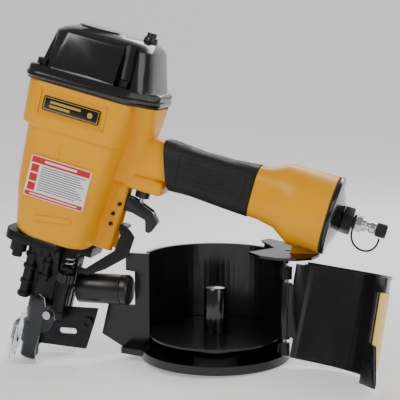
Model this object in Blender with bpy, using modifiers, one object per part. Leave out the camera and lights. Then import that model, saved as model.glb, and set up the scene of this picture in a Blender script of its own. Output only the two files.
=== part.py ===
"""Pneumatic coil nailer: a separate-piece assembly in metres, +Z up.

Three frames carry the pieces.  The magazine frame M has its origin at the centre of the
magazine's flat base, with +Z along the coil's axis.  The tool frame T has its origin on the
driving axis at the contact tip's mouth, with +Z up the driving axis; it leans back by the
angle at which the nails are collated.  Both hang from one stance empty, which sets the tool
on its contact tip and on the magazine's rear lower edge.  Design lengths are in millimetres.
"""

import math

import bmesh
import bpy
from mathutils import Matrix, Vector, geometry

MM = 0.001
GAP = 0.3  # clearance between touching solids

# Stance and frames
STANCE_TILT = 2.6  # degrees about +Y that bring tip and magazine edge onto one plane
STANCE_SHIFT = (14.3, 37.72, 3.24)  # puts the origin at the bounding box's bottom centre
COLLATION = 15.0  # degrees between the nails and the coil's axis
TIP_AT = (-187.0, -15.0, -9.5)  # tip mouth in the magazine frame

# Barrel
BARREL_FOOT = 126.0
BARREL_TOP = 271.0
BORE_R = 34.0
CYL_R = 27.0  # inner radius of the cylinder sleeve
CYL_WALL = 2.6
CYL_FOOT = 150.0
CYL_TOP = 262.0

# Handle and air reservoir, along the tool's +X
HANDLE_Z = 223.5
GRIP_X = (84.0, 178.0)
TANK_X = (202.0, 247.0)
TANK_R = 36.0
AIR_Z = 222.0
TETHER_R = 0.9
TETHER_RING = 24  # steps round the plug
TETHER_LOOP = 30  # steps down and up to the cap

# Contact arm's adjuster
ROD_AT = (26.0, -21.0)
WHEEL_Z = 94.0

# Magazine
DRUM_R = 68.0
WALL = 2.4
RIM_Z = 95.0
BASE_R = 71.5
TRAY_R = 63.0
TRAY_Z = 21.0
DOOR_R = 73.0
DOOR_Z = (9.0, 96.0)
DOOR_HINGE = (70.5, -24.0)
DOOR_LEAN = 7.9  # degrees by which the hinge's top leans away from the door
DOOR_OPEN = 120.5  # degrees from closed to the position it is stored in
DOOR_END = -146.0  # bearing of the closed door's free end
WALL_SPAN = (-2.0, 184.0)  # bearings between which the drum's fixed wall runs
BRACKET_Z = (103.0, 105.4)
LEG_FOOT = BRACKET_Z[1] + GAP
LEG_SCREW = (88.0, -18.0)
FEED_AT = (-110.0, -15.0, 61.0)

PAINTS = {
    "yellow_paint": ((0.86, 0.47, 0.005), 0.28, 0.0),
    "black_gloss": ((0.012, 0.012, 0.014), 0.18, 0.0),
    "black_plastic": ((0.018, 0.018, 0.02), 0.42, 0.0),
    "black_steel": ((0.02, 0.02, 0.022), 0.38, 0.7),
    "rubber": ((0.022, 0.022, 0.022), 0.8, 0.0),
    "chrome": ((0.8, 0.8, 0.82), 0.12, 1.0),
    "steel": ((0.45, 0.45, 0.47), 0.3, 1.0),
    "aluminium": ((0.6, 0.6, 0.62), 0.35, 1.0),
    "clear_plastic": ((0.75, 0.76, 0.78), 0.12, 0.0),
    "grey_nylon": ((0.45, 0.45, 0.47), 0.5, 0.0),
    "label_white": ((0.8, 0.8, 0.8), 0.4, 0.0),
    "label_yellow": ((0.85, 0.6, 0.02), 0.4, 0.0),
    "gasket": ((0.25, 0.12, 0.08), 0.8, 0.0),
}

PARTS = None
CUTTERS = None
MATERIALS = {}


# ---------------------------------------------------------------- scene and helpers
def clear_scene():
    for obj in list(bpy.data.objects):
        bpy.data.objects.remove(obj, do_unlink=True)


def make_material(name):
    colour, rough, metal = PAINTS[name]
    mat = bpy.data.materials.new(name)
    mat.use_nodes = True
    shader = mat.node_tree.nodes["Principled BSDF"]
    shader.inputs["Base Color"].default_value = (*colour, 1.0)
    shader.inputs["Roughness"].default_value = rough
    shader.inputs["Metallic"].default_value = metal
    return mat


def empty(name, parent=None, at=(0, 0, 0), turn=(0, 0, 0)):
    obj = bpy.data.objects.new(name, None)
    PARTS.objects.link(obj)
    return place(obj, parent, at, turn)


def place(obj, parent, at=(0, 0, 0), turn=(0, 0, 0)):
    obj.parent = parent
    obj.location = Vector(at) * MM
    obj.rotation_euler = [math.radians(a) for a in turn]
    return obj


def add(name, bm, paint, parent, at=(0, 0, 0), turn=(0, 0, 0)):
    """Turn a bmesh in millimetres into an object; paint None makes it a cutter."""
    bmesh.ops.scale(bm, vec=(MM, MM, MM), verts=bm.verts)
    bmesh.ops.recalc_face_normals(bm, faces=bm.faces)
    mesh = bpy.data.meshes.new(name)
    bm.to_mesh(mesh)
    bm.free()
    obj = bpy.data.objects.new(name, mesh)
    if paint is None:
        CUTTERS.objects.link(obj)
        obj.hide_render = True
        obj.display_type = "WIRE"
    else:
        PARTS.objects.link(obj)
        mesh.materials.append(MATERIALS[paint])
        mesh.shade_smooth()
        mesh.set_sharp_from_angle(angle=math.radians(35))
    return place(obj, parent, at, turn)


def box_mesh(size):
    bm = bmesh.new()
    bmesh.ops.create_cube(bm, size=1.0)
    bmesh.ops.scale(bm, vec=size, verts=bm.verts)
    return bm


def cylinder_mesh(radius, length, sides=24, top=None):
    bm = bmesh.new()
    upper = radius if top is None else top
    bmesh.ops.create_cone(
        bm, cap_ends=True, segments=sides, radius1=radius, radius2=upper, depth=length
    )
    return bm


def ring_loft(rings):
    """Skin a list of equal-length point rings and close both ends."""
    bm = bmesh.new()
    rows = [[bm.verts.new(p) for p in ring] for ring in rings]
    count = len(rows[0])
    for low, high in zip(rows, rows[1:]):
        for i in range(count):
            j = (i + 1) % count
            bm.faces.new((low[i], low[j], high[j], high[i]))
    bm.faces.new(list(reversed(rows[0])))
    bm.faces.new(rows[-1])
    return bm


def round_rect(u0, u1, v0, v1, radii, steps=5):
    """Points round a rectangle; radii are for corners (u1,v1), (u0,v1), (u0,v0), (u1,v0)."""
    corners = ((u1, v1, 0), (u0, v1, 90), (u0, v0, 180), (u1, v0, 270))
    points = []
    for (u, v, start), r in zip(corners, radii):
        cu = u - r if u == u1 else u + r
        cv = v - r if v == v1 else v + r
        for k in range(steps + 1):
            a = math.radians(start + 90.0 * k / steps)
            points.append((cu + r * math.cos(a), cv + r * math.sin(a)))
    return points


def slab_mesh(points, low, high):
    """Extrude a flat outline from low to high along Z."""
    return ring_loft([[(x, y, z) for x, y in points] for z in (low, high)])


def turned_mesh(profile, steps=32):
    """Turn a closed (radius, height) profile about Z; radii stay above zero for a ring."""
    bm = bmesh.new()
    solid = profile[0][0] == 0
    ends = (profile[0][1], profile[-1][1])
    body = profile[1:-1] if solid else profile
    columns = []
    for k in range(steps):
        a = 2 * math.pi * k / steps
        columns.append([bm.verts.new((r * math.cos(a), r * math.sin(a), z)) for r, z in body])
    last = len(body) - 1 if solid else len(body)
    for k in range(steps):
        here, there = columns[k], columns[(k + 1) % steps]
        for i in range(last):
            j = (i + 1) % len(body)
            bm.faces.new((here[i], there[i], there[j], here[j]))
    if solid:
        for row, height in ((0, ends[0]), (-1, ends[1])):
            tip = bm.verts.new((0, 0, height))
            for k in range(steps):
                bm.faces.new((tip, columns[k][row], columns[(k + 1) % steps][row]))
    return bm


def boolean(target, tool, operation):
    mod = target.modifiers.new(operation.lower(), "BOOLEAN")
    mod.object = tool
    mod.operation = operation
    mod.solver = "EXACT"
    return target


def cut(target, *tools):
    for tool in tools:
        boolean(target, tool, "DIFFERENCE")
    return target


def join(target, *tools):
    for tool in tools:
        boolean(target, tool, "UNION")
    return target


def bevel(obj, width, segments=2, angle=35):
    mod = obj.modifiers.new("bevel", "BEVEL")
    mod.width = width * MM
    mod.segments = segments
    mod.limit_method = "ANGLE"
    mod.angle_limit = math.radians(angle)
    return obj


def tube(name, points, radius, paint, parent, at=(0, 0, 0)):
    """A round bar along a list of points, as a poly curve with filled caps."""
    curve = bpy.data.curves.new(name, "CURVE")
    curve.dimensions = "3D"
    curve.bevel_depth = radius * MM
    curve.bevel_resolution = 2
    curve.use_fill_caps = True
    spline = curve.splines.new("POLY")
    spline.points.add(len(points) - 1)
    for slot, point in zip(spline.points, points):
        slot.co = (*(Vector(point) * MM), 1.0)
    curve.materials.append(MATERIALS[paint])
    obj = bpy.data.objects.new(name, curve)
    PARTS.objects.link(obj)
    return place(obj, parent, at)


def helix(radius, pitch, turns, low, per_turn=12):
    points = []
    for k in range(int(turns * per_turn) + 1):
        a = 2 * math.pi * k / per_turn
        points.append((radius * math.cos(a), radius * math.sin(a), low + pitch * k / per_turn))
    return points


# ---------------------------------------------------------------- casting and grip
def section_z(z, x0, x1, width, front, rear):
    points = round_rect(x0, x1, -width, width, (rear, front, front, rear))
    return [(x, y, z) for x, y in points]


def section_x(x, centre, half_height, half_width, radius):
    points = round_rect(-half_width, half_width, centre - half_height, centre + half_height, (radius,) * 4)
    return [(x, y, z) for y, z in points]


def make_casting(T):
    """Barrel, handle neck, reservoir, rear leg and trigger web, cast in one piece."""
    barrel = ring_loft([
        section_z(BARREL_FOOT, -33, 38, 36, 24, 20),
        section_z(BARREL_FOOT + 4, -36, 41, 39, 26, 20),
        section_z(170, -43, 45, 42, 28, 20),
        section_z(228, -46, 51, 43.5, 28, 18),
        section_z(231, -50, 53, 46.5, 26, 14),
        section_z(BARREL_TOP, -51, 54, 47, 24, 10),
    ])
    body = add("body_casting", barrel, "yellow_paint", T)
    neck = ring_loft([
        section_z(197, 20, 66, 15, 6, 12),
        section_z(215, 20, 71, 17, 6, 12),
        section_z(248, 20, 72.5, 20, 6, 12),
        section_z(BARREL_TOP, 20, 72.5, 32, 6, 16),
    ])
    handle = ring_loft([
        section_x(40, 225.0, 21, 17, 12),
        section_x(80, 224.0, 20, 15, 12),
        section_x(GRIP_X[0] + 8, HANDLE_Z, 18, 14, 12),
        section_x(GRIP_X[1] - 2.1, HANDLE_Z, 18, 14, 12),
        section_x(GRIP_X[1] - 1.9, HANDLE_Z, 23.6, 19, 14),
        section_x(GRIP_X[1] + 8, 224.0, 24.5, 20, 15),
        section_x(TANK_X[0], 226.8, 30, 31, 26),
        section_x(218, 221.5, TANK_R, TANK_R, 34),
        section_x(TANK_X[1], AIR_Z, TANK_R, TANK_R, 34),
    ])
    web = ring_loft([
        section_z(129, 25, 60, 9.5, 4, 6),
        section_z(196, 25, 61, 11, 4, 6),
    ])
    lug = box_mesh((41, 28, 14))
    leg = box_mesh((24, 16, 30))
    unions = [
        add("neck_form", neck, None, T),
        add("handle_form", handle, None, T),
        add("web_form", web, None, T),
        bevel(add("lug_form", lug, None, T, (73.5, 0, 200)), 4),
        bevel(add("leg_form", leg, None, T, (234.4, 0, 184)), 3),
    ]
    for side in (-1, 1):
        bar = add(f"bar_form_{side + 1}", box_mesh((37, 5, 5.4)), None, T, (6.3, side * 40.2, 149),
            (0, -9.5, 0))
        unions.append(bevel(bar, 1.6, 3))
    join(body, *unions)
    bore = cylinder_mesh(BORE_R, BARREL_TOP - 140 + 4, 32)
    air = ring_loft([
        section_x(30, HANDLE_Z, 12, 9, 8),
        section_x(GRIP_X[1], HANDLE_Z, 12, 9, 8),
        section_x(TANK_X[0] + 8, AIR_Z, 22, 22, 20),
        section_x(TANK_X[1] + 2, AIR_Z, 30, 30, 28),
    ])
    cut(
        body,
        add("bore_cut", bore, None, T, (0, 0, (BARREL_TOP + 144) / 2)),
        add("air_cut", air, None, T),
        add("driver_cut", cylinder_mesh(9, 40, 24), None, T, (0, 0, 130)),
        add("valve_cut", cylinder_mesh(7.3, 34, 20), None, T, (73.5, 0, 199)),
        add("trigger_cut", box_mesh((22, 12.6, 70)), None, T, (61, 0, 158)),
        add("label_cut", box_mesh((66, 4, 44)), None, T, (3.5, -43.6, 184), (-1.5, 0, 0)),
        add("leg_foot_cut", box_mesh((90, 60, 40)), None, bpy.data.objects["magazine_frame"],
            (88, -15, LEG_FOOT - 20)),
        add("leg_tap", cylinder_mesh(2.8, 34, 12), None, bpy.data.objects["magazine_frame"],
            (LEG_SCREW[0], LEG_SCREW[1], LEG_FOOT - 5)),
    )
    return body


def make_grip(T):
    """Rubber sleeve moulded round the handle, with cut-back ends and finger ribs."""
    outer = ring_loft([
        section_x(GRIP_X[0] - 4, 223.4, 22, 18, 13),
        section_x(GRIP_X[0] + 6, 223.4, 23.2, 19.5, 14),
        section_x(120, 223.0, 21.5, 19, 14),
        section_x(150, 222.5, 22.5, 19.5, 14),
        section_x(GRIP_X[1] - 2.5, 223.4, 24.2, 20, 14),
    ])
    inner = ring_loft([
        section_x(GRIP_X[0] - 14, HANDLE_Z + 0.9, 21.6, 16.6, 13),
        section_x(80.5, HANDLE_Z + 0.6, 20.4, 15.5, 12.4),
        section_x(GRIP_X[0] + 8.6, HANDLE_Z, 18.6, 14.6, 12.4),
        section_x(GRIP_X[1] + 6, HANDLE_Z, 18.6, 14.6, 12.4),
    ])
    grip = add("grip_sleeve", outer, "rubber", T)
    front = box_mesh((40, 60, 90))
    cut(grip, add("grip_bore", inner, None, T), add("grip_front", front, None, T, (72.2, 0, 218.5),
        (0, -18.4, 0)))
    return grip


# ---------------------------------------------------------------- head
def cap_outline(grow=0.0, reach=0.0):
    """Flange outline: rounded front, rear corners cut back towards the handle."""
    front, width, rear = -51 - grow, 47 + grow, 73 + grow - reach
    points = []
    for k in range(6):
        a = math.radians(180 + 90 * k / 5)
        points.append((front + 14 + 14 * math.cos(a), -width + 14 + 14 * math.sin(a)))
    points += [(48 + grow, -width), (54 + grow, -width + 3), (rear - 3, -22), (rear, -18)]
    return points + [(x, -y) for x, y in reversed(points)]


def make_head(T):
    top = BARREL_TOP
    gasket = add("head_gasket", slab_mesh(cap_outline(-0.6), top + GAP, top + 1.5), "gasket", T)
    cut(gasket, add("gasket_bore", cylinder_mesh(BORE_R, 8, 32), None, T, (0, 0, top)))
    low = top + 1.5 + GAP
    rings = []
    for grow, z in ((0.0, low), (1.0, low + 1.5), (1.0, low + 4.5), (0.0, low + 6.0), (0.0, low + 10.5),
        (-1.5, low + 12)):
        rings.append([(x, y, z) for x, y in cap_outline(grow)])
    cap = add("cylinder_cap", ring_loft(rings), "black_gloss", T)
    dome = ring_loft([
        dome_ring(low + 6, 0.0),
        dome_ring(low + 14, 0.5),
        dome_ring(low + 46, 3.0),
        dome_ring(low + 50, 7.0),
        dome_ring(low + 54, 16.0),
    ])
    crown = cylinder_mesh(24, 2.4, 32, 22)
    join(cap, add("dome_form", dome, None, T), add("crown_form", crown, None, T, (-2, 0, low + 54.6)))
    hollow = cylinder_mesh(36, 24, 32, 33)
    cut(cap, add("cap_hollow", hollow, None, T, (0, 0, low + 7.2)))
    for i, (x, y) in enumerate(((-39, -35), (41, -37), (41, 37), (-39, 35)), 1):
        seat = low + 12
        pocket = add(f"pocket_{i}", cylinder_mesh(8.6, 60, 20, 5), None, T, (x, y, seat + 30))
        hole = add(f"cap_hole_{i}", cylinder_mesh(3.4, 30, 12), None, T, (x, y, seat - 6))
        cut(cap, pocket, hole)
        cut(gasket, hole)
        cut(bpy.data.objects["body_casting"], add(f"tapped_{i}", cylinder_mesh(3.4, 24, 12), None, T,
            (x, y, top - 11)))
        screw = turned_mesh([
            (0, seat - 24), (3.0, seat - 24), (3.0, seat + GAP), (5.0, seat + GAP),
            (5.0, seat + 6), (2.6, seat + 6), (2.5, seat + 3), (0, seat + 3),
        ], 12)
        add(f"cap_screw_{i}", screw, "black_steel", T, (x, y, 0))
    cover = cylinder_mesh(7, 5, 20, 6)
    add("exhaust_cover", cover, "black_plastic", T, (45, 0, low + 56.8))
    join(bpy.data.objects["exhaust_cover"], add("cover_knob", cylinder_mesh(4.6, 5, 16), None, T,
        (45, 0, low + 61)))


def dome_ring(z, inset):
    """Cap section: leans in at the front and stays upright over the handle."""
    lean = (z - BARREL_TOP) * 0.12
    front, rear, width = -47 + lean + inset, 69 - 1.8 * lean - inset * 0.4, 41 - 0.3 * lean - inset
    points = round_rect(front, rear, -width, width, (18, 20, 20, 18))
    return [(x, y, z) for x, y in points]


def make_cylinder_group(T, head_slide, piston_slide):
    """Sleeve, bumper and, on their own slides, the head valve and the piston."""
    outer = CYL_R + CYL_WALL
    sleeve = turned_mesh([
        (CYL_R, CYL_FOOT), (outer, CYL_FOOT), (outer, 200), (outer + 4, 200), (outer + 4, 204),
        (outer, 204), (outer, CYL_TOP), (CYL_R, CYL_TOP),
    ])
    add("cylinder_sleeve", sleeve, "aluminium", T)
    bumper = turned_mesh([
        (5, CYL_FOOT - 5.6), (20, CYL_FOOT - 5.6), (CYL_R - GAP, CYL_FOOT + 1),
            (CYL_R - GAP, CYL_FOOT + 10),
        (16, CYL_FOOT + 14), (5, CYL_FOOT + 14),
    ])
    add("bumper", bumper, "rubber", T)
    floor = CYL_TOP + GAP
    valve = turned_mesh([
        (0, floor + 4), (20, floor + 4), (20, floor), (31, floor), (31, floor + 14), (26, floor + 14),
        (26, floor + 7), (0, floor + 7),
    ], 24)
    add("head_valve", valve, "black_plastic", head_slide)
    spring_low = floor + 7 + GAP
    tube("head_valve_spring", helix(18, 4.4, 4.5, spring_low + 1.2), 1.0, "steel", head_slide)
    top = CYL_TOP - 3
    piston = turned_mesh([
        (0, top), (22, top), (CYL_R - 0.4, top - 2), (CYL_R - 0.4, top - 6), (CYL_R - 2.6, top - 6),
        (CYL_R - 2.6, top - 9), (CYL_R - 0.4, top - 9), (CYL_R - 0.4, top - 13), (8, top - 15),
            (0, top - 15),
    ][::-1], 32)
    add("piston", piston, "aluminium", piston_slide)
    ring = turned_mesh([(CYL_R - 2.3, top - 8.7), (CYL_R - 0.15, top - 8.7), (CYL_R - 0.15, top - 6.3),
        (CYL_R - 2.3, top - 6.3)], 32)
    add("piston_ring", ring, "rubber", piston_slide)
    add("driver_blade", cylinder_mesh(2.6, 165, 14), "steel", piston_slide, (0, 0, top - 15 - GAP - 82.5))


# ---------------------------------------------------------------- trigger and valve
def make_trigger_group(T, trigger, lever, stem):
    body = turned_mesh([(3.2, 186), (7.0, 186), (7.0, 204), (5.0, 208), (3.2, 208)], 20)
    add("trigger_valve_body", body, "black_plastic", T, (73.5, 0, 0))
    add("valve_stem", cylinder_mesh(2.4, 26, 12), "steel", stem, (0, 0, 13))
    shell = add("trigger_lever", slab_mesh([(-5, -6), (-6, 4), (-1, 9), (10, 8), (30, 1), (38, -8),
        (33, -20), (29, -20), (26, -9), (12, -6)], -5.6, 5.6), "black_plastic", trigger, (0, 0, 0),
        (90, 0, 0))
    bevel(shell, 1.2, 2)
    cut(
        shell,
        add("trigger_slot", box_mesh((30, 30, 6.4)), None, trigger, (17, 0, 2.5), (90, 0, 0)),
        add("trigger_eye", cylinder_mesh(1.9, 30, 14), None, trigger, (0, 0, 0), (90, 0, 0)),
    )
    arm = add("contact_lever", slab_mesh([(-1, -2), (-1, 2), (15, 3.4), (24, 1), (24, -1), (12, -1.5)],
        -2.4, 2.4), "steel", lever, (0, 0, 0), (90, 0, 0))
    bevel(arm, 0.5, 1)
    for name, x, z in (
        ("trigger_pin", 57.0, 175.5), ("guide_pin_upper", 53.0, 165.0), ("guide_pin_lower", 53.0, 155.0),
    ):
        radius = 1.6
        add(name, cylinder_mesh(radius, 25.0, 12), "black_steel", T, (x, 0, z), (90, 0, 0))
        cut(bpy.data.objects["body_casting"], add(name + "_hole", cylinder_mesh(radius + GAP, 40, 12),
            None, T, (x, 0, z), (90, 0, 0)))


# ---------------------------------------------------------------- nose, contact arm and feed
def make_nose(T, arm, wheel):
    """Steel nose under the barrel, with the ribbed driver guide down to the tip."""
    top = BARREL_FOOT - GAP
    plate = round_rect(-42, 42, -36, 36, (18, 16, 16, 18))
    nose = add("nose_body", slab_mesh(plate, top - 9, top), "black_steel", T)
    skirt = ring_loft([
        [(x, y, 66) for x, y in round_rect(-12, 20, -13, 13, (5, 5, 5, 5))],
        [(x, y, 92) for x, y in round_rect(-13, 24, -14, 14, (5, 5, 5, 5))],
        [(x, y, top - 5) for x, y in round_rect(-26, 30, -24, 24, (12, 12, 12, 12))],
    ])
    guide = turned_mesh([
        (0, 28), (8, 28), (8, 50), (12, 51), (12, 60), (13.6, 61), (13.6, 66), (12, 67), (12, 82),
            (15.5, 83),
        (15.5, 88), (12, 89), (12, 100), (14, 102), (14, top - 6), (0, top - 6),
    ], 24)
    join(
        nose,
        add("skirt_form", skirt, None, T),
        add("guide_form", guide, None, T),
        add("rear_form", box_mesh((30, 17, 60)), None, T, (15, 0, 82)),
        add("boss_form", cylinder_mesh(8, 16, 20), None, T, (-27, -22, top - 12)),
        add("boss_form_2", cylinder_mesh(8, 16, 20), None, T, (-27, 22, top - 12)),
    )
    cut(
        nose,
        add("driver_bore", cylinder_mesh(4.2, 130, 16), None, T, (0, 0, 70)),
        add("nail_gate", box_mesh((60, 5.6, 60)), None, T, (30, 0, 75)),
        add("adjuster_notch", box_mesh((40, 40, 90)), None, T, (34.5, -31.5, 100)),
    )
    for i, (x, y) in enumerate(((-27, -22), (4, -30), (29, 24), (-27, 22)), 1):
        foot = top - 20 if i in (1, 4) else top - 9
        cut(
            nose,
            add(f"nose_hole_{i}", cylinder_mesh(3.3, 60, 12), None, T, (x, y, top)),
            add(f"nose_pocket_{i}", cylinder_mesh(5.6, 60, 16), None, T, (x, y, foot - 30)),
        )
        cut(bpy.data.objects["body_casting"], add(f"nose_tap_{i}", cylinder_mesh(3.3, 30, 12), None, T,
            (x, y, top - 1)))
        screw = turned_mesh([
            (0, foot - 6), (5, foot - 6), (5, foot - GAP), (3, foot - GAP), (3, top + 12), (0, top + 12),
        ], 12)
        add(f"nose_screw_{i}", screw, "black_steel", T, (x, y, 0))

    make_contact_arm(arm, wheel)


def make_contact_arm(arm, wheel):
    """Tip sleeve, side arm with the adjuster's barrel, and the bent link up to the trigger."""
    tip = turned_mesh([
        (5.6, 0.4), (7.2, 0), (8.2, 2), (8.2, 13), (10.2, 15), (10.2, 34), (8.4, 34), (8.4, 15), (5.6, 15),
    ], 24)
    add("contact_tip", tip, "black_steel", arm)
    carrier = add("contact_arm", box_mesh((12, 4.4, 56)), "black_steel", arm, (6, -16.2, 34))
    rod = turned_mesh([
        (0, 52), (5, 52), (7.4, 54), (7.4, 60), (6.2, 61), (6.2, WHEEL_Z - 5), (3.0, WHEEL_Z - 5),
        (3.0, WHEEL_Z + 9), (0, WHEEL_Z + 9),
    ], 20)
    join(
        carrier,
        add("arm_foot", box_mesh((12, 8.6, 5)), None, arm, (6, -12.4, 8.5)),
        add("arm_branch", box_mesh((22, 4.4, 14)), None, arm, (15, -16.2, 55)),
        add("arm_rod", rod, None, arm, (ROD_AT[0], ROD_AT[1], 0)),
    )
    cut(
        carrier,
        add("arm_tip_cut", cylinder_mesh(10.5, 70, 24), None, arm, (0, 0, 20)),
        add("arm_screw_cut", cylinder_mesh(2.3, 60, 14), None, arm, (20, -30, 56), (90, 0, 0)),
    )
    outline = [
        (16, 100.6), (44, 100.6), (60, 112), (78, 130), (79.5, 150), (75, 154), (68, 158), (63, 157),
            (63, 153),
        (66, 148), (64, 132), (40, 106), (16, 105),
    ]
    link = add("contact_link", slab_mesh([(x, -z) for x, z in outline], -1.3, 1.3), "black_steel", arm,
        (0, -13.4, 0), (-90, 0, 0))
    tab = add("link_tab", box_mesh((12, 11.5, 3.4)), None, arm, (ROD_AT[0], ROD_AT[1] + 2.25, 102.3))
    push = box_mesh((7, 14, 3.2))
    join(link, tab, add("link_push", push, None, arm, (66.5, -7.2, 156.2)))
    cut(link, add("link_hole", cylinder_mesh(3.3, 20, 14), None, arm, (ROD_AT[0], ROD_AT[1], 104)))
    spring = [(x + ROD_AT[0], y + ROD_AT[1], z) for x, y, z in helix(4.4, 4.4, 2, 105.4, 12)]
    tube("arm_spring", spring, 0.7, "steel", arm)
    add("depth_wheel", knurled_mesh(3.3, 8.6, 8.4, 16), "black_plastic", wheel)


def knurled_mesh(inner, outer, length, teeth):
    """A ring with a scalloped rim."""
    count = teeth * 2
    bm = bmesh.new()
    rows = []
    for radius_in, z in ((False, -length / 2), (False, length / 2), (True, length / 2),
        (True, -length / 2)):
        row = []
        for k in range(count):
            a = 2 * math.pi * k / count
            r = inner if radius_in else outer - (1.0 if k % 2 else 0.0)
            row.append(bm.verts.new((r * math.cos(a), r * math.sin(a), z)))
        rows.append(row)
    for i in range(4):
        low, high = rows[i], rows[(i + 1) % 4]
        for k in range(count):
            j = (k + 1) % count
            bm.faces.new((low[k], low[j], high[j], high[k]))
    return bm


def make_feed(M, piston):
    """Slotted guide plate beside the nose, and the air cylinder that steps the nails on."""
    plate = add("feed_guide", slab_mesh([(-172, -6), (-122, -3), (-113, -30), (-109, -44), (-160, -44),
        (-166, -30)], -1.6, 1.6), "black_steel", M, (0, -25.8, 0), (-90, 0, 0))
    bevel(plate, 1.0, 1)
    slot = slab_mesh(round_rect(-9, 9, -3, 3, (2.9,) * 4, 4), -10, 10)
    cut(
        plate,
        add("slot_cut", slot, None, M, (-140, -24, 20), (90, 0, 0)),
        add("guide_hole", cylinder_mesh(3.3, 20, 14), None, M, (-119.5, -24, 29), (90, 0, 0)),
    )
    screw = turned_mesh([(0, -9), (3, -9), (3, GAP), (6.2, GAP), (6.2, 3), (2.6, 3), (2.4, 1.2),
        (0, 1.2)][::-1], 16)
    add("feed_guide_screw", screw, "black_steel", M, (-119.5, -27.4, 29), (90, 0, 0))
    body = turned_mesh([(2.8, -21.5), (14.5, -21.5), (14.5, 22), (12.2, 22), (12.2, -14), (2.8, -14)], 28)
    add("feed_cylinder", body, "black_plastic", M, FEED_AT, (0, 90, 0))
    cap = turned_mesh([(0, 22.3), (14.5, 22.3), (14.5, 28), (12.8, 30.2), (0, 30.2)], 28)
    add("feed_cylinder_cap", cap, "black_plastic", M, FEED_AT, (0, 90, 0))
    rod = turned_mesh([(0, -36), (2.4, -36), (2.4, -13), (11.8, -13), (11.8, -5), (0, -5)], 24)
    add("feed_piston", rod, "steel", piston, (0, 0, 0), (0, 90, 0))
    points = [(z, x, y) for x, y, z in helix(7.5, 5.0, 5, -3.8, 12)]
    tube("feed_spring", points, 0.9, "steel", piston)
    claw = slab_mesh([(-3, -3), (4, -3), (4, 3), (-3, 3), (-8, 0)], -2.3, 2.3)
    add("feed_pawl", claw, "steel", piston, (-40.6, 0, 0), (90, 0, 0))


# ---------------------------------------------------------------- magazine
def arc(radius, start, end, steps):
    return [(radius * math.cos(math.radians(a)), radius * math.sin(math.radians(a)))
            for a in (start + (end - start) * k / steps for k in range(steps + 1))]


def wall_points(radius, thickness, start, end, steps):
    return arc(radius, start, end, steps) + arc(radius - thickness, end, start, steps)


def make_magazine(M, tray, post):
    """Base dish, rear half of the drum wall and the throat plate, moulded as one."""
    base = turned_mesh([
        (4, 0), (BASE_R, 0), (BASE_R, 8), (BASE_R - WALL, 8), (BASE_R - WALL - 1, 3), (4, 3),
    ], 64)
    housing = add("magazine_housing", base, "black_plastic", M)
    wall = slab_mesh(wall_points(DRUM_R, WALL, WALL_SPAN[0], WALL_SPAN[1], 40), 2, RIM_Z)
    throat = slab_mesh([(-64.5, 1), (-64.5, 95), (-88, 95), (-88, 78), (-79, 77), (-79, 44), (-106, 44),
        (-113, 14), (-90, 1)], -1.6, 1.6)
    foot = slab_mesh([(-60, -30), (-88, -22), (-88, 4), (-60, 10)], 0.2, 6)
    boss = cylinder_mesh(10, 14, 24)
    rim = slab_mesh(wall_points(DRUM_R + 1.6, WALL + 1.6, WALL_SPAN[0] + 3, WALL_SPAN[1] - 6, 40),
        RIM_Z - 4, RIM_Z + 0.4)
    leaf = [(42, 50), (54, 40), (99, -2), (101, -12), (101, -22), (97, -38), (84, -46), (67, -47),
        (50, -39), (37, -24), (56, 2), (36, 40)]
    bracket = slab_mesh(leaf, *BRACKET_Z)
    riser = slab_mesh([(42, 50), (51, 43), (46, 37), (38, 44)], RIM_Z - 12, BRACKET_Z[0] + 1)
    knuckles = [add(f"knuckle_{i}", cylinder_mesh(5, 12, 16), None, M) for i in (1, 2)]
    for knuckle, z in zip(knuckles, (16.0, 86.0)):
        knuckle.parent = bpy.data.objects["door_axis"]
        knuckle.location = (0, 0, z * MM)
    join(
        housing,
        add("wall_form", wall, None, M),
        add("throat_form", throat, None, M, (0, -4, 0), (90, 0, 0)),
        add("foot_form", foot, None, M),
        add("boss_form_m", boss, None, M, (0, 0, 8)),
        add("rim_form", rim, None, M),
        add("riser_form", riser, None, M),
        add("bracket_form", bracket, None, M),
        *knuckles,
    )
    for i, z in enumerate((16.0, 86.0)):
        join(housing, add(f"lug_{i}", box_mesh((6, 22, 8)), None, bpy.data.objects["door_axis"],
            (-3, 10, z)))
    cut(
        housing,
        add("post_bore", cylinder_mesh(6.3, 60, 20), None, M, (0, 0, 20)),
        add("pin_bore", cylinder_mesh(2.5, 140, 14), None, bpy.data.objects["door_axis"], (0, 0, 50)),
        add("leg_hole", cylinder_mesh(2.8, 20, 12), None, M, (*LEG_SCREW, 107)),
        add("leg_sink", cylinder_mesh(5.2, 1.6, 20), None, M, (*LEG_SCREW, BRACKET_Z[0])),
    )
    z = BRACKET_Z[0] + 0.2
    screw = turned_mesh([(0, z - 1), (4.8, z - 1), (4.8, z + 0.3), (2.5, z + 0.3), (2.5, z + 14),
        (0, z + 14)], 16)
    add("leg_screw", screw, "black_steel", M, (*LEG_SCREW, 0))
    collar = turned_mesh([
        (10.6, 5.4), (19.5, 5.4), (21, 7), (21, TRAY_Z - 1.8), (6.3, TRAY_Z - 1.8), (6.3, 15.4),
            (10.6, 15.4),
    ], 32)
    add("tray_collar", collar, "grey_nylon", post)
    disc = turned_mesh([(11.6, TRAY_Z - 1.4), (TRAY_R, TRAY_Z - 1.4), (TRAY_R, TRAY_Z + 0.6),
        (11.6, TRAY_Z + 0.6)], 56)
    add("nail_tray", disc, "black_plastic", tray)
    column = turned_mesh([
        (0, 3.4), (6, 3.4), (6, TRAY_Z - 1.4), (11.3, TRAY_Z - 1.4), (11.3, 63), (10, 65.4), (5, 66.4),
            (0, 66.6),
    ], 28)
    add("tray_post", column, "black_gloss", post)


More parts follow.
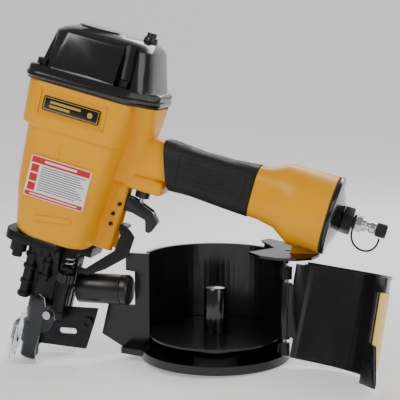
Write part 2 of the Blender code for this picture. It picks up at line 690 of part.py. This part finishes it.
def make_door(door, latch):
    """The curved door, its raised top plate, latch and sticker, modelled closed."""
    low, high = DOOR_Z
    bearing = math.degrees(math.atan2(DOOR_HINGE[1], DOOR_HINGE[0]))
    wall = wall_points(DOOR_R, 2.2, bearing - 3, DOOR_END, 32)
    panel = add("magazine_door", slab_mesh(wall, low, high), "black_plastic", door)
    lip = slab_mesh(wall_points(DOOR_R + 0.8, 3.8, bearing - 5, DOOR_END + 1, 32), high - 0.5, high + 2.3)
    tongue = [(-58, 9.6), (-84, 9.6), (-84, 14), (-74, 42), (-58, 44)]
    tab = [(-58, 84), (-75, 85), (-75, 97), (-58, 97.6)]
    sole = slab_mesh(wall_points(DOOR_R + 0.6, 3.4, bearing - 8, DOOR_END + 1, 32), low - 0.2, low + 2.6)
    knuckle = cylinder_mesh(5, 52, 16)
    slope = math.tan(math.radians(DOOR_LEAN))
    side = [
        (DOOR_HINGE[1] + 28 * slope, 28), (DOOR_HINGE[1] + 74 * slope, 74), (-19, 76), (-19, 95), (-33, 95),
        (-33, 10), (-29.5, 10), (-29, 26),
    ]
    web = ring_loft([[(x, y, z) for y, z in side] for x in (64.2, 68.6)])
    hinge = bpy.data.objects["door_swing"]
    join(
        panel,
        add("lip_form", lip, None, door),
        add("tongue_form", slab_mesh([(x, -z) for x, z in tongue], -1.1, 1.1), None, door,
            (0, -39.6, 0), (-90, 0, 0)),
        add("tab_form", slab_mesh([(x, -z) for x, z in tab], -1.1, 1.1), None, door, (0, -39.6, 0),
            (-90, 0, 0)),
        add("sole_form", sole, None, door),
        add("door_knuckle", knuckle, None, hinge, (0, 0, 51)),
        add("door_web", web, None, door),
    )
    cut(panel, add("door_pin_bore", cylinder_mesh(2.5, 140, 14), None, hinge, (0, 0, 51)))
    sticker = slab_mesh(wall_points(DOOR_R + 0.9, 0.55, -143, -98, 20), 22, 84)
    add("door_sticker", sticker, "label_yellow", door)
    grip = slab_mesh(round_rect(-8, 8, -5, 5, (3,) * 4, 4), 0, 4)
    handle = add("door_latch", grip, "black_plastic", latch, (0, 0, 0.4), (0, 0, 0))
    return bevel(handle, 0.8, 1)


# ---------------------------------------------------------------- air inlet, labels, shield
def make_air_end(T):
    x = TANK_X[1] + GAP
    gasket = turned_mesh([(29, x), (35.6, x), (35.6, x + 1.2), (29, x + 1.2)], 40)
    add("end_cap_gasket", gasket, "gasket", T, (0, 0, AIR_Z), (0, 90, 0))
    x += 1.2 + GAP
    cap = turned_mesh([(7.2, x), (35.8, x), (36.4, x + 1.5), (35.8, x + 3.4), (28, x + 4.4),
        (12.4, x + 10.4), (7.2, x + 10.4)], 40)
    add("end_cap", cap, "black_gloss", T, (0, 0, AIR_Z), (0, 90, 0))
    x += 10.4 + GAP
    bush = turned_mesh([(4.4, -8), (6.9, -8), (6.9, 0), (12.7, 0), (12.7, 9), (4.4, 9)], 6)
    add("hex_bushing", bush, "black_steel", T, (x, 0, AIR_Z), (0, 90, 0))
    x += 9 + GAP
    plug = turned_mesh([
        (0, -7), (3.4, -7), (3.4, 0), (5.6, 0), (5.6, 12), (4.2, 12.6), (4.2, 15), (5.4, 16),
            (5.4, 21.5), (0, 21.5),
    ], 24)
    air_plug = add("air_plug", plug, "chrome", T, (x, 0, AIR_Z), (0, 90, 0))
    join(air_plug, add("plug_nut", cylinder_mesh(8.1, 5.6, 6), None, T, (x + 5.8, 0, AIR_Z), (0, 90, 0)))
    cut(air_plug, add("plug_bore", cylinder_mesh(2.5, 60, 12), None, T, (x + 12, 0, AIR_Z), (0, 90, 0)))
    cap = turned_mesh([
        (0, 15), (2.1, 15), (2.1, 21.8), (6, 21.8), (6.4, 23.4), (6.4, 29.6), (5.4, 31.2), (0, 31.2),
    ], 24)
    add("dust_cap", cap, "rubber", T, (x, 0, AIR_Z), (0, 90, 0))
    tube("dust_cap_tether", tether_route(x), TETHER_R, "rubber", T)


def tether_route(x):
    """Centre line of the dust cap's tether: round the plug's neck, then a hanging loop."""
    reach = 5.6 + GAP + TETHER_R
    points = []
    for k in range(TETHER_RING + 1):
        a = math.radians(-30 + 300 * k / TETHER_RING)
        points.append((x + 1.5, reach * math.cos(a), AIR_Z + reach * math.sin(a)))
    start = Vector(points.pop())
    end = Vector((x + 26.5, 0, AIR_Z - 6.4 - GAP - TETHER_R))
    drop = Vector((0, -3, -20))
    loop = geometry.interpolate_bezier(start, start + drop, end + Vector((2, 0, -20)), end, TETHER_LOOP)
    return points + [tuple(p) for p in loop]


def make_labels(T):
    plate = slab_mesh(round_rect(-27.8, 27.8, -6.8, 6.8, (1.2,) * 4, 3), 0, 1.2)
    add("name_plate", plate, "black_gloss", T, (2.7, -47.2, 253.4), (90 - 0.7, 0, 0))
    label = slab_mesh(round_rect(-30, 30, -19.2, 19.2, (1.5,) * 4, 3), 0, 0.4)
    add("warning_label", label, "label_white", T, (3.5, -41.9, 184), (90 - 1.5, 0, 0))


def ribbon(path, width):
    """Outline of an open polyline given a thickness."""
    left, right = [], []
    for i, point in enumerate(path):
        before, after = path[max(i - 1, 0)], path[min(i + 1, len(path) - 1)]
        way = Vector((after[0] - before[0], after[1] - before[1])).normalized()
        side = Vector((-way.y, way.x)) * width / 2
        left.append((point[0] + side.x, point[1] + side.y))
        right.append((point[0] - side.x, point[1] - side.y))
    return left + right[::-1]


def make_shield(arm):
    """Clear chip shield: a side wing on the arm, wrapped round the front of the tip."""
    wing = [(-6, -2), (20, 1.2), (16, 18), (17, 34), (25, 42), (28, 54), (24, 63), (16, 63), (13, 71),
        (7, 73), (-6, 50)]
    path = [(-3, -29.3), (-9, -27.5), (-14, -21), (-16.5, -12), (-17, 0), (-15, 9), (-9, 14.5), (0, 16),
        (20, 17), (40, 17)]
    shield = add("chip_shield", slab_mesh([(x, -z) for x, z in wing], -0.7, 0.7), "clear_plastic", arm,
        (0, -30, 0), (-90, 0, 0))
    join(shield, add("shield_wrap", slab_mesh(ribbon(path, 1.4), 1.2, 33), None, arm))
    cut(shield, add("shield_foot_cut", box_mesh((160, 100, 40)), None,
        bpy.data.objects["magazine_frame"], (-187, -15, -29.6)))
    teeth = [add(f"shield_tooth_{k}", box_mesh((60, 2.6, 5)), None, arm, (-20, -18 + 6 * k, 1.2),
        (0, 0, 0)) for k in range(5)]
    cut(shield, *teeth)
    cut(shield, add("shield_hole", cylinder_mesh(2.4, 20, 14), None, arm, (20, -30, 56), (90, 0, 0)))
    screw = turned_mesh([(0, -12.2), (2, -12.2), (2, 1), (4, 1), (4, 3), (0, 3)], 14)
    add("shield_screw", screw, "steel", arm, (20, -30.6, 56), (90, 0, 0))


def main():
    global PARTS, CUTTERS
    clear_scene()
    PARTS = bpy.data.collections.new("coil_nailer")
    CUTTERS = bpy.data.collections.new("cutters")
    for collection in (PARTS, CUTTERS):
        bpy.context.scene.collection.children.link(collection)
    for name in PAINTS:
        MATERIALS[name] = make_material(name)
    stance = empty("stance", None, STANCE_SHIFT, (0, STANCE_TILT, 0))
    M = empty("magazine_frame", stance)
    T = empty("tool_frame", M, TIP_AT, (0, COLLATION, 0))
    door_axis = empty("door_axis", M, (*DOOR_HINGE, 0), (-DOOR_LEAN, 0, 0))
    door_swing = empty("door_swing", door_axis, (0, 0, 0), (0, 0, DOOR_OPEN))
    door = empty("door_closed_frame", door_swing)
    lean = Matrix.Translation(Vector((*DOOR_HINGE, 0)) * MM) @ Matrix.Rotation(math.radians(-DOOR_LEAN),
        4, "X")
    door.matrix_basis = lean.inverted()
    side = math.radians(-86)
    latch = empty("latch_pivot", door, (DOOR_R * math.cos(side), DOOR_R * math.sin(side), 50),
        (90, 0, -86 + 90))
    tray_slide = empty("tray_axis", M)
    head_slide = empty("head_valve_axis", T)
    piston_slide = empty("piston_axis", T)
    arm = empty("contact_arm_axis", T)
    wheel = empty("depth_wheel_axis", arm, (*ROD_AT, WHEEL_Z))
    trigger = empty("trigger_pivot", T, (57, 0, 175.5))
    lever = empty("contact_lever_pivot", trigger, (8, 0, -2))
    stem = empty("valve_stem_axis", T, (73.5, 0, 178))
    feed = empty("feed_axis", M, FEED_AT)
    make_casting(T)
    make_grip(T)
    make_head(T)
    make_cylinder_group(T, head_slide, piston_slide)
    make_trigger_group(T, trigger, lever, stem)
    make_nose(T, arm, wheel)
    make_shield(arm)
    make_feed(M, feed)
    make_magazine(M, tray_slide, tray_slide)
    make_door(door, latch)
    add("hinge_pin", cylinder_mesh(2.2, 84, 14), "steel", door_axis, (0, 0, 51))
    make_air_end(T)
    make_labels(T)


main()
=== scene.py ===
import math

import bmesh
import bpy
from mathutils import Matrix, Vector, geometry


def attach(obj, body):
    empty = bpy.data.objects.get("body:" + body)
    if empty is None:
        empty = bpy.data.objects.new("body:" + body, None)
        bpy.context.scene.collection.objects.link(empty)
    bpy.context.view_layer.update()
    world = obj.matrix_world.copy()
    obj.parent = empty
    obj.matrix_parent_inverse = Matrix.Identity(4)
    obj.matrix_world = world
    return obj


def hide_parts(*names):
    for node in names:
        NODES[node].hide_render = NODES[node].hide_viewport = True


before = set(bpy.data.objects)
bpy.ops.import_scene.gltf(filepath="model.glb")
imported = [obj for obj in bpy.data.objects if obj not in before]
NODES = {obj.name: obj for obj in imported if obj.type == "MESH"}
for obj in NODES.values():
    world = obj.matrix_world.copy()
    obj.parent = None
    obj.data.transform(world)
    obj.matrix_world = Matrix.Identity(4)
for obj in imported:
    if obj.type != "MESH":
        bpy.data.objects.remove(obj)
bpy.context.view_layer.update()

# M is the magazine's frame and T the tool's, with its Z up the barrel; both are in the CAD's places
MM = 0.001
TILT = math.radians(2.6)
COLLATION = math.radians(15)
M = Matrix.Translation((0.0143, 0.03772, 0.00324)) @ Matrix.Rotation(TILT, 4, "Y")
T = M @ Matrix.Translation((-0.187, -0.015, -0.0095)) @ Matrix.Rotation(COLLATION, 4, "Y")

# Places and sizes on the tool, in millimetres of its frame; leans are in degrees
SHARP = math.radians(32)
BARREL_LEAN = 1.5
LABEL_AT = (3.5, -41.9, 184)
LABEL_FACE = 0.45
PLATE_LEAN = 0.7
PLATE_AT = (2.7, -47.2, 253.4)
PLATE_FACE = 1.22
OUTLINE_AT = (2.7, -46.9, 253.4)
RIB_AT = (-2, -42.0, 218)
GRIP_BEADS_X = (112, 163)
GRIP_BEADS_Z = (214, 218.5, 223, 227.5, 232)
GRIP_OUTLINE = [(106, 208), (168, 208), (168, 238), (103, 238), (106, 208)]
BEAD_STEPS = 14
PLUG_X = 268.8
PLUG_Z = 222
CORD_RING = 6.8

# The stage and the camera, in metres and degrees
FLOOR_BEND = 1.2
FLOOR_HALF_WIDTH = 5.0
CAMERA_TURN = 14.5
CAMERA_RISE = 7.9
CAMERA_AT = (0.2293, -0.9461, 0.2838)

YELLOW = (0.86, 0.37, 0.0)
GOLD = (0.62, 0.38, 0.06)
RED = (0.62, 0.012, 0.012)


# ------------------------------------------------------------------ materials
class Nodes:
    """A small builder round one material's node tree."""

    def __init__(self, name):
        self.material = bpy.data.materials.new(name)
        self.material.use_nodes = True
        self.tree = self.material.node_tree
        self.shader = self.tree.nodes["Principled BSDF"]

    def new(self, kind, **values):
        node = self.tree.nodes.new(kind)
        for key, value in values.items():
            if key in node.inputs:
                node.inputs[key].default_value = value
            else:
                setattr(node, key, value)
        return node

    def link(self, source, target):
        self.tree.links.new(source, target)

    def noise(self, scale, detail=3.0, roughness=0.5, stretch=None):
        coords = self.new("ShaderNodeTexCoord").outputs["Object"]
        if stretch:
            mapping = self.new("ShaderNodeMapping", Scale=stretch)
            self.link(coords, mapping.inputs["Vector"])
            coords = mapping.outputs["Vector"]
        node = self.new("ShaderNodeTexNoise", Scale=scale, Detail=detail, Roughness=roughness)
        self.link(coords, node.inputs["Vector"])
        return node.outputs["Fac"]

    def spread(self, source, low, high, target):
        node = self.new("ShaderNodeMapRange")
        node.inputs["From Min"].default_value = 0.3
        node.inputs["From Max"].default_value = 0.7
        node.inputs["To Min"].default_value = low
        node.inputs["To Max"].default_value = high
        self.link(source, node.inputs["Value"])
        self.link(node.outputs["Result"], target)

    def bump(self, source, strength, distance=0.0002):
        node = self.new("ShaderNodeBump", Strength=strength, Distance=distance)
        self.link(source, node.inputs["Height"])
        last = self.shader.inputs["Normal"].links
        if last:
            self.link(last[0].from_socket, node.inputs["Normal"])
        self.link(node.outputs["Normal"], self.shader.inputs["Normal"])

    def two_tone(self, source, dark, light):
        ramp = self.new("ShaderNodeValToRGB")
        ramp.color_ramp.elements[0].position = 0.35
        ramp.color_ramp.elements[0].color = (*dark, 1.0)
        ramp.color_ramp.elements[1].position = 0.65
        ramp.color_ramp.elements[1].color = (*light, 1.0)
        self.link(source, ramp.inputs["Fac"])
        self.link(ramp.outputs["Color"], self.shader.inputs["Base Color"])


def shade(colour, amount):
    return tuple(min(1.0, c * amount) for c in colour)


def surface(name, colour, rough, metallic=0.0, coat=0.0, grain=None, wear=0.03, specular=0.5):
    """Base colour with slight mottling, uneven roughness and, with grain, a fine bump."""
    n = Nodes(name)
    n.shader.inputs["Metallic"].default_value = metallic
    n.shader.inputs["Coat Weight"].default_value = coat
    n.shader.inputs["Coat Roughness"].default_value = 0.08
    n.shader.inputs["Specular IOR Level"].default_value = specular
    cloud = n.noise(28.0, 4.0)
    n.two_tone(cloud, shade(colour, 1.0 - wear), shade(colour, 1.0 + wear))
    n.spread(n.noise(90.0, 5.0), rough * 0.86, min(1.0, rough * 1.16), n.shader.inputs["Roughness"])
    if grain:
        n.bump(n.noise(grain[0], 2.0), grain[1])
    return n


def yellow_paint():
    n = surface("yellow_paint", YELLOW, 0.4, 0.0, 0.12, (1500.0, 0.05), 0.02, 0.2)
    n.bump(n.noise(260.0, 2.0), 0.05, 0.0004)
    return n.material


def ribbed_rubber():
    """Matte rubber with lengthwise ribs along the handle."""
    n = surface("ribbed_rubber", (0.009, 0.009, 0.010), 0.6, grain=(2600.0, 0.3), wear=0.12, specular=0.35)
    coords = n.new("ShaderNodeTexCoord").outputs["Object"]
    mapping = n.new("ShaderNodeMapping")
    mapping.inputs["Rotation"].default_value = (0.0, -(TILT + COLLATION), 0.0)
    n.link(coords, mapping.inputs["Vector"])
    wave = n.new("ShaderNodeTexWave", Scale=110.0)
    wave.bands_direction = "Z"
    wave.wave_profile = "SIN"
    n.link(mapping.outputs["Vector"], wave.inputs["Vector"])
    n.bump(wave.outputs["Fac"], 0.3, 0.0005)
    return n.material


def clear_sheet():
    n = Nodes("clear_polycarbonate")
    n.shader.inputs["Base Color"].default_value = (0.86, 0.89, 0.91, 1.0)
    n.shader.inputs["Transmission Weight"].default_value = 1.0
    n.shader.inputs["IOR"].default_value = 1.3
    n.spread(n.noise(60.0, 6.0, 0.6), 0.02, 0.10, n.shader.inputs["Roughness"])
    n.bump(n.noise(140.0, 3.0), 0.03)
    return n.material


def brushed(name, colour, rough, stretch):
    n = surface(name, colour, rough, 1.0, wear=0.06)
    n.bump(n.noise(160.0, 4.0, 0.6, stretch), 0.08, 0.0001)
    return n.material


LOOKS = {
    "yellow": yellow_paint(),
    "grip": ribbed_rubber(),
    "rubber": surface(
        "rubber", (0.010, 0.010, 0.010), 0.62, grain=(1800.0, 0.3), wear=0.1, specular=0.4
    ).material,
    "gloss": surface("black_gloss", (0.0045, 0.0045, 0.005), 0.17, coat=0.5).material,
    "plastic": surface(
        "black_plastic", (0.008, 0.008, 0.009), 0.32, grain=(1600.0, 0.12), wear=0.08
    ).material,
    "inner": surface("drum_plastic", (0.007, 0.007, 0.008), 0.22, grain=(1100.0, 0.03), wear=0.08).material,
    "black_steel": surface(
        "black_steel", (0.014, 0.014, 0.016), 0.38, 0.6, grain=(900.0, 0.25), wear=0.15
    ).material,
    "steel": brushed("bright_steel", (0.50, 0.50, 0.52), 0.28, (1.0, 1.0, 0.08)),
    "aluminium": brushed("machined_aluminium", (0.62, 0.62, 0.64), 0.32, (0.2, 0.2, 2.0)),
    "chrome": surface("chrome", (0.74, 0.74, 0.76), 0.10, 1.0, wear=0.02).material,
    "clear": clear_sheet(),
    "nylon": surface("grey_nylon", (0.85, 0.85, 0.87), 0.48, grain=(1400.0, 0.1)).material,
    "white": surface("label_white", (0.82, 0.82, 0.81), 0.35, wear=0.01).material,
    "red": surface("label_red", RED, 0.35, wear=0.04).material,
    "ink": surface("label_ink", (0.12, 0.10, 0.10), 0.4).material,
    "gold": surface("gold_print", GOLD, 0.32, 0.35, wear=0.06).material,
    "sticker": surface("sticker_yellow", (0.85, 0.50, 0.01), 0.33, coat=0.3, wear=0.02).material,
    "gasket": surface("gasket", (0.05, 0.04, 0.035), 0.8, grain=(1500.0, 0.4)).material,
}

NODE_LOOKS = {
    "yellow": ["body_casting"],
    "grip": ["grip_sleeve"],
    "rubber": ["bumper", "piston_ring", "dust_cap", "dust_cap_tether"],
    "gloss": ["cylinder_cap", "end_cap", "tray_post", "name_plate"],
    "plastic": [
        "head_valve", "exhaust_cover", "trigger_valve_body", "trigger_lever", "depth_wheel",
        "feed_cylinder", "feed_cylinder_cap", "door_latch",
    ],
    "inner": ["magazine_housing", "nail_tray", "magazine_door"],
    "black_steel": [
        "nose_body", "nose_screw_1", "nose_screw_2", "nose_screw_3", "nose_screw_4", "contact_tip",
        "contact_arm", "contact_link", "feed_guide", "feed_guide_screw", "leg_screw", "hex_bushing",
        "trigger_pin", "guide_pin_upper", "guide_pin_lower",
        "cap_screw_1", "cap_screw_2", "cap_screw_3", "cap_screw_4",
    ],
    "steel": [
        "driver_blade", "head_valve_spring", "valve_stem", "contact_lever", "arm_spring",
        "shield_screw", "feed_piston", "feed_spring", "feed_pawl", "hinge_pin",
    ],
    "aluminium": ["cylinder_sleeve", "piston"],
    "chrome": ["air_plug"],
    "clear": ["chip_shield"],
    "nylon": ["tray_collar"],
    "white": ["warning_label"],
    "sticker": ["door_sticker"],
    "gasket": ["head_gasket", "end_cap_gasket"],
}

# Edge radius, in millimetres, of the pieces whose moulded or cast edges are visibly rounded
EDGES = {
    "body_casting": 1.2, "cylinder_cap": 1.0, "grip_sleeve": 1.0, 
    "magazine_door": 0.5, "nose_body": 0.5, "end_cap": 0.6, "contact_link": 0.35, "contact_arm": 0.35,
    "feed_cylinder": 0.6, "feed_cylinder_cap": 0.6, "tray_post": 0.8, "exhaust_cover": 0.6,
    "trigger_lever": 0.5, "hex_bushing": 0.5, "contact_tip": 0.4, "feed_guide": 0.3, "dust_cap": 0.4,
    "chip_shield": 0.2, "air_plug": 0.3, "name_plate": 0.2,
}


def smooth(mesh):
    """Smooth shading, with edges sharper than SHARP kept crisp."""
    mesh.shade_smooth()
    mesh.set_sharp_from_angle(angle=SHARP)


def dress(node, look):
    """Give a CAD node its material, rounded edges and smooth shading."""
    obj = NODES[node]
    obj.data.materials.clear()
    obj.data.materials.append(LOOKS[look])
    if node in EDGES:
        weld = obj.modifiers.new("weld", "WELD")
        weld.merge_threshold = 0.00001
        mod = obj.modifiers.new("edges", "BEVEL")
        mod.width = EDGES[node] * MM
        mod.segments = 3
        mod.limit_method = "ANGLE"
        mod.angle_limit = SHARP
        mod.harden_normals = True
    smooth(obj.data)


# ------------------------------------------------------------------ added pieces
def link(name, data):
    """A new object of the scene."""
    obj = bpy.data.objects.new(name, data)
    bpy.context.scene.collection.objects.link(obj)
    return obj


def baked(name, bm):
    """The mesh of a finished bmesh."""
    mesh = bpy.data.meshes.new(name)
    bm.to_mesh(mesh)
    bm.free()
    return mesh


def piece(name, bm, look, body, matrix):
    """An added solid that moves with one of the CAD's bodies."""
    bmesh.ops.recalc_face_normals(bm, faces=bm.faces)
    mesh = baked(name, bm)
    obj = link(name, mesh)
    obj.matrix_world = matrix
    mesh.materials.append(LOOKS[look])
    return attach(obj, body)


def strands(name, lines, radius, resolution):
    """Round rubber lines through world points, as one curve object."""
    curve = bpy.data.curves.new(name, "CURVE")
    curve.dimensions = "3D"
    curve.bevel_depth = radius
    curve.bevel_resolution = resolution
    curve.use_fill_caps = True
    for points in lines:
        spline = curve.splines.new("POLY")
        spline.points.add(len(points) - 1)
        for slot, point in zip(spline.points, points):
            slot.co = (*point, 1.0)
    curve.materials.append(LOOKS["rubber"])
    return link(name, curve)


def tiles(rows, thickness):
    """Thin flat blocks: rows of (x0, x1, y0, y1) in millimetres."""
    bm = bmesh.new()
    for x0, x1, y0, y1 in rows:
        made = bmesh.ops.create_cube(bm, size=1.0)["verts"]
        bmesh.ops.scale(bm, vec=(x1 - x0, y1 - y0, thickness), verts=made)
        bmesh.ops.translate(bm, vec=((x0 + x1) / 2, (y0 + y1) / 2, thickness / 2), verts=made)
    bmesh.ops.scale(bm, vec=(MM, MM, MM), verts=bm.verts)
    return bm


def border(half_x, half_y, side_y, width):
    """Rows for tiles() that frame a rectangle; side_y is how far the side bars reach."""
    return [
        (-half_x, half_x, half_y - width, half_y),
        (-half_x, half_x, -half_y, width - half_y),
        (-half_x, width - half_x, -side_y, side_y),
        (half_x - width, half_x, -side_y, side_y),
    ]


def on_side(place, lean, raised=0.0):
    """Frame of a plate on the barrel's near side: its X along the tool's X, its Y up."""
    turn = Matrix.Rotation(math.radians(90 - lean), 4, "X")
    return T @ Matrix.Translation(Vector(place) * MM) @ turn @ Matrix.Translation((0, 0, raised * MM))


def add_labels():
    """The warning label's print: red header and footer, red squares and plain lines."""
    at = on_side(LABEL_AT, BARREL_LEAN, LABEL_FACE)
    bands = [(-29, 29, 12.6, 18.4), (-29, 29, -18.4, -14.4)]
    piece("label_header", tiles(bands, 0.06), "red", "tool", at)
    squares = [(-28, -20.5, 4, 11.2), (-28, -20.5, -4.6, 2.6), (-28, -20.5, -13.2, -6)]
    piece("label_squares", tiles(squares, 0.06), "red", "tool", at)
    lines = []
    for row in range(11):
        top = 10.8 - row * 2.15
        end = 27 - (row * 7) % 9
        lines.append((-18, end, top - 0.8, top))
    piece("label_lines", tiles(lines, 0.05), "ink", "tool", at)
    heads = [(-16, 16, 14.6, 16.6), (-24, 24, -16.9, -15.8)]
    over = at @ Matrix.Translation((0, 0, 0.00006))
    piece("label_bars", tiles(heads, 0.05), "white", "tool", over)


def add_name_plate():
    """The name plate's print: a gold border, two plain bars and a round badge."""
    at = on_side(PLATE_AT, PLATE_LEAN, PLATE_FACE)
    piece("plate_border", tiles(border(26.6, 5.6, 5.1, 0.5), 0.05), "gold", "tool", at)
    bars = [(-21, 9, 0.8, 3.0), (-21, -1, -3.0, -0.8)]
    piece("plate_bars", tiles(bars, 0.08), "gold", "tool", at)
    badge = bmesh.new()
    bmesh.ops.create_cone(badge, cap_ends=True, segments=32, radius1=0.0026, radius2=0.0026, depth=0.0001)
    piece("plate_badge", badge, "gold", "tool", at @ Matrix.Translation((0.0185, 0, 0.00005)))


def add_cast_lines():
    """Raised outline round the name plate, and the rib below it, on the painted casting."""
    at = on_side(OUTLINE_AT, PLATE_LEAN)
    piece("plate_outline", tiles(border(33, 11.4, 11.4, 1.2), 0.7), "yellow", "tool", at)
    at = on_side(RIB_AT, BARREL_LEAN)
    piece("barrel_rib", tiles([(-1.1, 1.1, -11, 11)], 1.6), "yellow", "tool", at)


def ringed_tube(name, centre, low, high, radius, rings):
    """A guide tube on the nose with collars at the given heights, in the tool's frame."""
    bm = bmesh.new()
    stretches = [(low, high, radius)] + [(z - 1.6, z + 1.6, radius + 1.5) for z in rings]
    for bottom, top, r in stretches:
        made = bmesh.ops.create_cone(
            bm, cap_ends=True, segments=32, radius1=r * MM, radius2=r * MM, depth=(top - bottom) * MM
        )["verts"]
        bmesh.ops.translate(bm, vec=(0, 0, (bottom + top) / 2 * MM), verts=made)
    obj = piece(name, bm, "black_steel", "tool", T @ Matrix.Translation(Vector((*centre, 0)) * MM))
    smooth(obj.data)


def add_nose_details():
    """The ringed guide tubes beside the nose."""
    ringed_tube("front_guide_tube", (-14, -15), 61, 110, 5.0, (64, 77, 92, 104))
    ringed_tube("middle_guide_tube", (4, -18), 84, 112, 3.6, (88, 101))
    ringed_tube("far_guide_tube", (-14, 15), 61, 110, 5.0, (64, 77, 92, 104))


def on_grip(x, side, z):
    """The point of the rubber grip's side at this place of the tool's frame."""
    start = T @ (Vector((x, side * 60, z)) * MM)
    way = T.to_3x3() @ Vector((0, -side, 0))
    hit, point, _, _ = NODES["grip_sleeve"].ray_cast(start, way)
    return point if hit else None


def stretch(start, end, count):
    """Evenly spaced points from start to end."""
    return [start + (end - start) * k / count for k in range(count + 1)]


def add_grip_beads():
    """Raised beads moulded along both sides of the rubber grip, inside a raised outline."""
    lines = [[(x, z) for x in stretch(*GRIP_BEADS_X, BEAD_STEPS)] for z in GRIP_BEADS_Z]
    for (x0, z0), (x1, z1) in zip(GRIP_OUTLINE, GRIP_OUTLINE[1:]):
        lines.append(list(zip(stretch(x0, x1, BEAD_STEPS), stretch(z0, z1, BEAD_STEPS))))
    laid = []
    for side in (-1, 1):
        for line in lines:
            laid.append([p for p in (on_grip(x, side, z) for x, z in line) if p])
    obj = strands("grip_beads", laid, 0.6 * MM, 2)
    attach(obj, "tool")


def ring_point(angle):
    """A point of the tether's ring round the air plug's neck."""
    return Vector((PLUG_X + 1.5, CORD_RING * math.cos(angle), PLUG_Z + CORD_RING * math.sin(angle)))


def tether_route():
    """The dust cap tether's centre line in the tool's frame, in millimetres."""
    ring = [ring_point(math.radians(-30 + 12.5 * k)) for k in range(24)]
    start = ring_point(math.radians(270))
    end = Vector((PLUG_X + 26.5, 0, PLUG_Z - 7.6))
    loop = geometry.interpolate_bezier(
        start, start + Vector((0, -3, -20)), end + Vector((2, 0, -20)), end, 30
    )
    return ring + list(loop)


def add_tether():
    """The rubber cord that keeps the dust cap on the air plug."""
    points = [T @ (p * MM) for p in tether_route()]
    obj = strands("tether_cord", [points], 0.9 * MM, 6)
    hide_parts("dust_cap_tether")
    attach(obj, "tool")


# ------------------------------------------------------------------ stage
def pale_material():
    """Plain near-white paper that glows a little."""
    n = Nodes("floor")
    n.shader.inputs["Base Color"].default_value = (0.93, 0.93, 0.93, 1.0)
    n.shader.inputs["Roughness"].default_value = 0.6
    n.shader.inputs["Specular IOR Level"].default_value = 0.3
    n.shader.inputs["Emission Color"].default_value = (1.0, 1.0, 1.0, 1.0)
    n.shader.inputs["Emission Strength"].default_value = 0.36
    return n.material


def add_floor():
    """A pale floor that curves up into a wall behind the object."""
    profile = [(-4.0, 0.0), (FLOOR_BEND, 0.0)]
    for k in range(1, 25):
        a = math.radians(90 * k / 24)
        profile.append((FLOOR_BEND + FLOOR_BEND * math.sin(a), FLOOR_BEND - FLOOR_BEND * math.cos(a)))
    profile.append((2 * FLOOR_BEND, 4.0))
    bm = bmesh.new()
    sides = (-FLOOR_HALF_WIDTH, FLOOR_HALF_WIDTH)
    rows = [[bm.verts.new((x, y, z)) for x in sides] for y, z in profile]
    for low, high in zip(rows, rows[1:]):
        bm.faces.new((low[0], low[1], high[1], high[0]))
    mesh = baked("floor", bm)
    mesh.shade_smooth()
    floor = link("floor", mesh)
    floor.location.z = -0.0004
    mesh.materials.append(pale_material())


def area_light(name, at, target, size, power):
    """A soft rectangular light that faces its target."""
    light = bpy.data.lights.new(name, "AREA")
    light.shape = "RECTANGLE"
    light.size, light.size_y = size
    light.energy = power
    obj = link(name, light)
    obj.location = at
    obj.rotation_euler = (Vector(target) - Vector(at)).to_track_quat("-Z", "Y").to_euler()


def add_studio():
    """A dim white world, a key from the front left, a fill from the right and a light behind."""
    world = bpy.data.worlds.new("studio")
    world.use_nodes = True
    world.node_tree.nodes["Background"].inputs["Color"].default_value = (1.0, 1.0, 1.0, 1.0)
    world.node_tree.nodes["Background"].inputs["Strength"].default_value = 0.28
    bpy.context.scene.world = world
    area_light("key", (-0.5, -0.9, 1.15), (0, 0, 0.15), (0.7, 0.7), 9)
    area_light("fill", (1.1, -0.8, 0.6), (0, 0, 0.15), (0.8, 1.0), 5)
    area_light("back", (0.3, 1.0, 0.9), (0, 0, 0.2), (1.2, 0.5), 9)


def add_camera():
    """The photo's view, set against the magazine's frame."""
    turn = math.radians(CAMERA_TURN)
    rise = math.radians(CAMERA_RISE)
    back = Vector((math.sin(turn) * math.cos(rise), -math.cos(turn) * math.cos(rise), math.sin(rise)))
    right = Vector((math.cos(turn), math.sin(turn), 0))
    up = back.cross(right)
    pose = Matrix((right, up, back)).transposed().to_4x4()
    pose.translation = Vector(CAMERA_AT)
    camera = bpy.data.cameras.new("camera")
    camera.lens = 94.05
    camera.sensor_width = 36.0
    camera.clip_start = 0.01
    obj = link("camera", camera)
    obj.matrix_world = M @ pose
    bpy.context.scene.camera = obj


for look, nodes in NODE_LOOKS.items():
    for node in nodes:
        dress(node, look)
add_labels()
add_name_plate()
add_cast_lines()
add_nose_details()
add_grip_beads()
add_tether()
add_floor()
add_studio()
add_camera()
